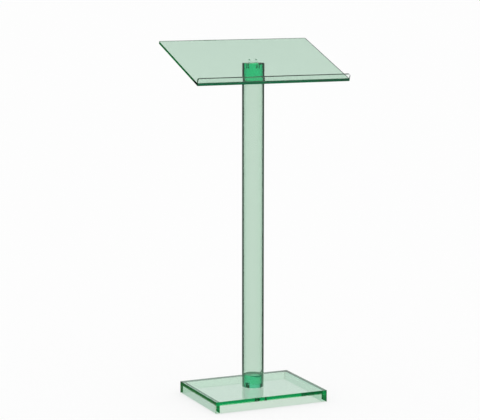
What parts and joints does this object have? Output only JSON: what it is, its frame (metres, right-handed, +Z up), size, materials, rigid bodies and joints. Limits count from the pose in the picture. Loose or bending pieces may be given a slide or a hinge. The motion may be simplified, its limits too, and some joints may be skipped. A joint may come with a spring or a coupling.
{
  "type": "presentation lectern",
  "caption": "Freestanding presentation lectern in green-tinted clear acrylic, with a shallow box base, a round tube column and a sloping desk with a lip.",
  "frame": {"origin": "on the floor under the column's axis, at the middle of the base's footprint", "axes": "+Z up along the column; +X to the right of a person facing the lip; -Y towards the side with the lip, where the desk is lowest"},
  "size_m": [0.515, 0.3281, 1.1483],
  "materials": {
    "acrylic_sheet": "polished",
    "acrylic_tube": "polished",
    "acrylic_rod": "polished",
    "steel_screw": "satin",
    "clear_stud": "gloss"
  },
  "bodies": {
    "root": {"base_top_plate": "acrylic_sheet", "base_front_wall": "acrylic_sheet", "base_back_wall": "acrylic_sheet", "base_left_wall": "acrylic_sheet", "base_right_wall": "acrylic_sheet", "column_tube": "acrylic_tube", "foot_plug": "acrylic_rod", "head_plug": "acrylic_rod", "desk_panel": "acrylic_sheet", "desk_lip": "acrylic_sheet", "base_screws": "steel_screw", "desk_studs": "clear_stud"}
  },
  "joints": []
}
